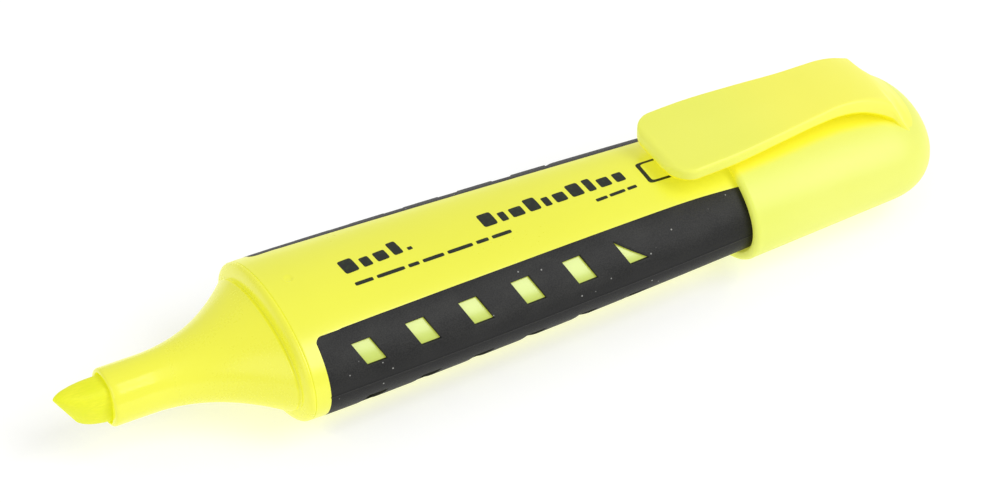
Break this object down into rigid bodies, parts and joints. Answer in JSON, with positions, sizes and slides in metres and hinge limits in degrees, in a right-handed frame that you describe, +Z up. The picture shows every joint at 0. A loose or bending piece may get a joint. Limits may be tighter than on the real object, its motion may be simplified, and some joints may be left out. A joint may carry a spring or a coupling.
{
  "type": "highlighter pen",
  "caption": "Flat oval highlighter pen with rubber side grips, a chisel nib and a clip cap pushed over the rear of the barrel.",
  "frame": {"origin": "under the middle of the pen's length, on the surface that it lies on", "axes": "+X along the pen from the nib to the closed end of the cap, +Y across the pen, +Z up towards the clip"},
  "size_m": [0.1122, 0.024, 0.0175],
  "materials": {
    "yellow_barrel": "satin moulded polypropylene",
    "yellow_cap": "satin moulded polypropylene, slightly translucent",
    "black_grip": "matt overmoulded rubber",
    "nib_felt": "bonded polyester fibre, wet with yellow ink",
    "reservoir_fibre": "polyester fibre bundle soaked with ink",
    "film": "thin clear film",
    "seal": "soft moulded polyethylene"
  },
  "bodies": {
    "barrel": {"barrel": "yellow_barrel", "left_grip": "black_grip", "right_grip": "black_grip", "nose_section": "yellow_barrel", "nib": "nib_felt", "ink_reservoir": "reservoir_fibre", "reservoir_film": "film"},
    "cap": {"cap_shell": "yellow_cap", "inner_cap": "seal"},
    "clip": {"cap_clip": "yellow_cap"}
  },
  "joints": [
    {"name": "cap_slide", "type": "slide", "parent": "barrel", "child": "cap", "axis": [1, 0, 0], "range_m": [0, 0.035]},
    {"name": "clip_flex", "type": "hinge", "parent": "cap", "child": "clip", "pos_m": [0.0444, 0, 0.01667], "axis": [0, 1, 0], "range_deg": [0, 6], "stiffness_Nm_per_rad": 0.4}
  ]
}
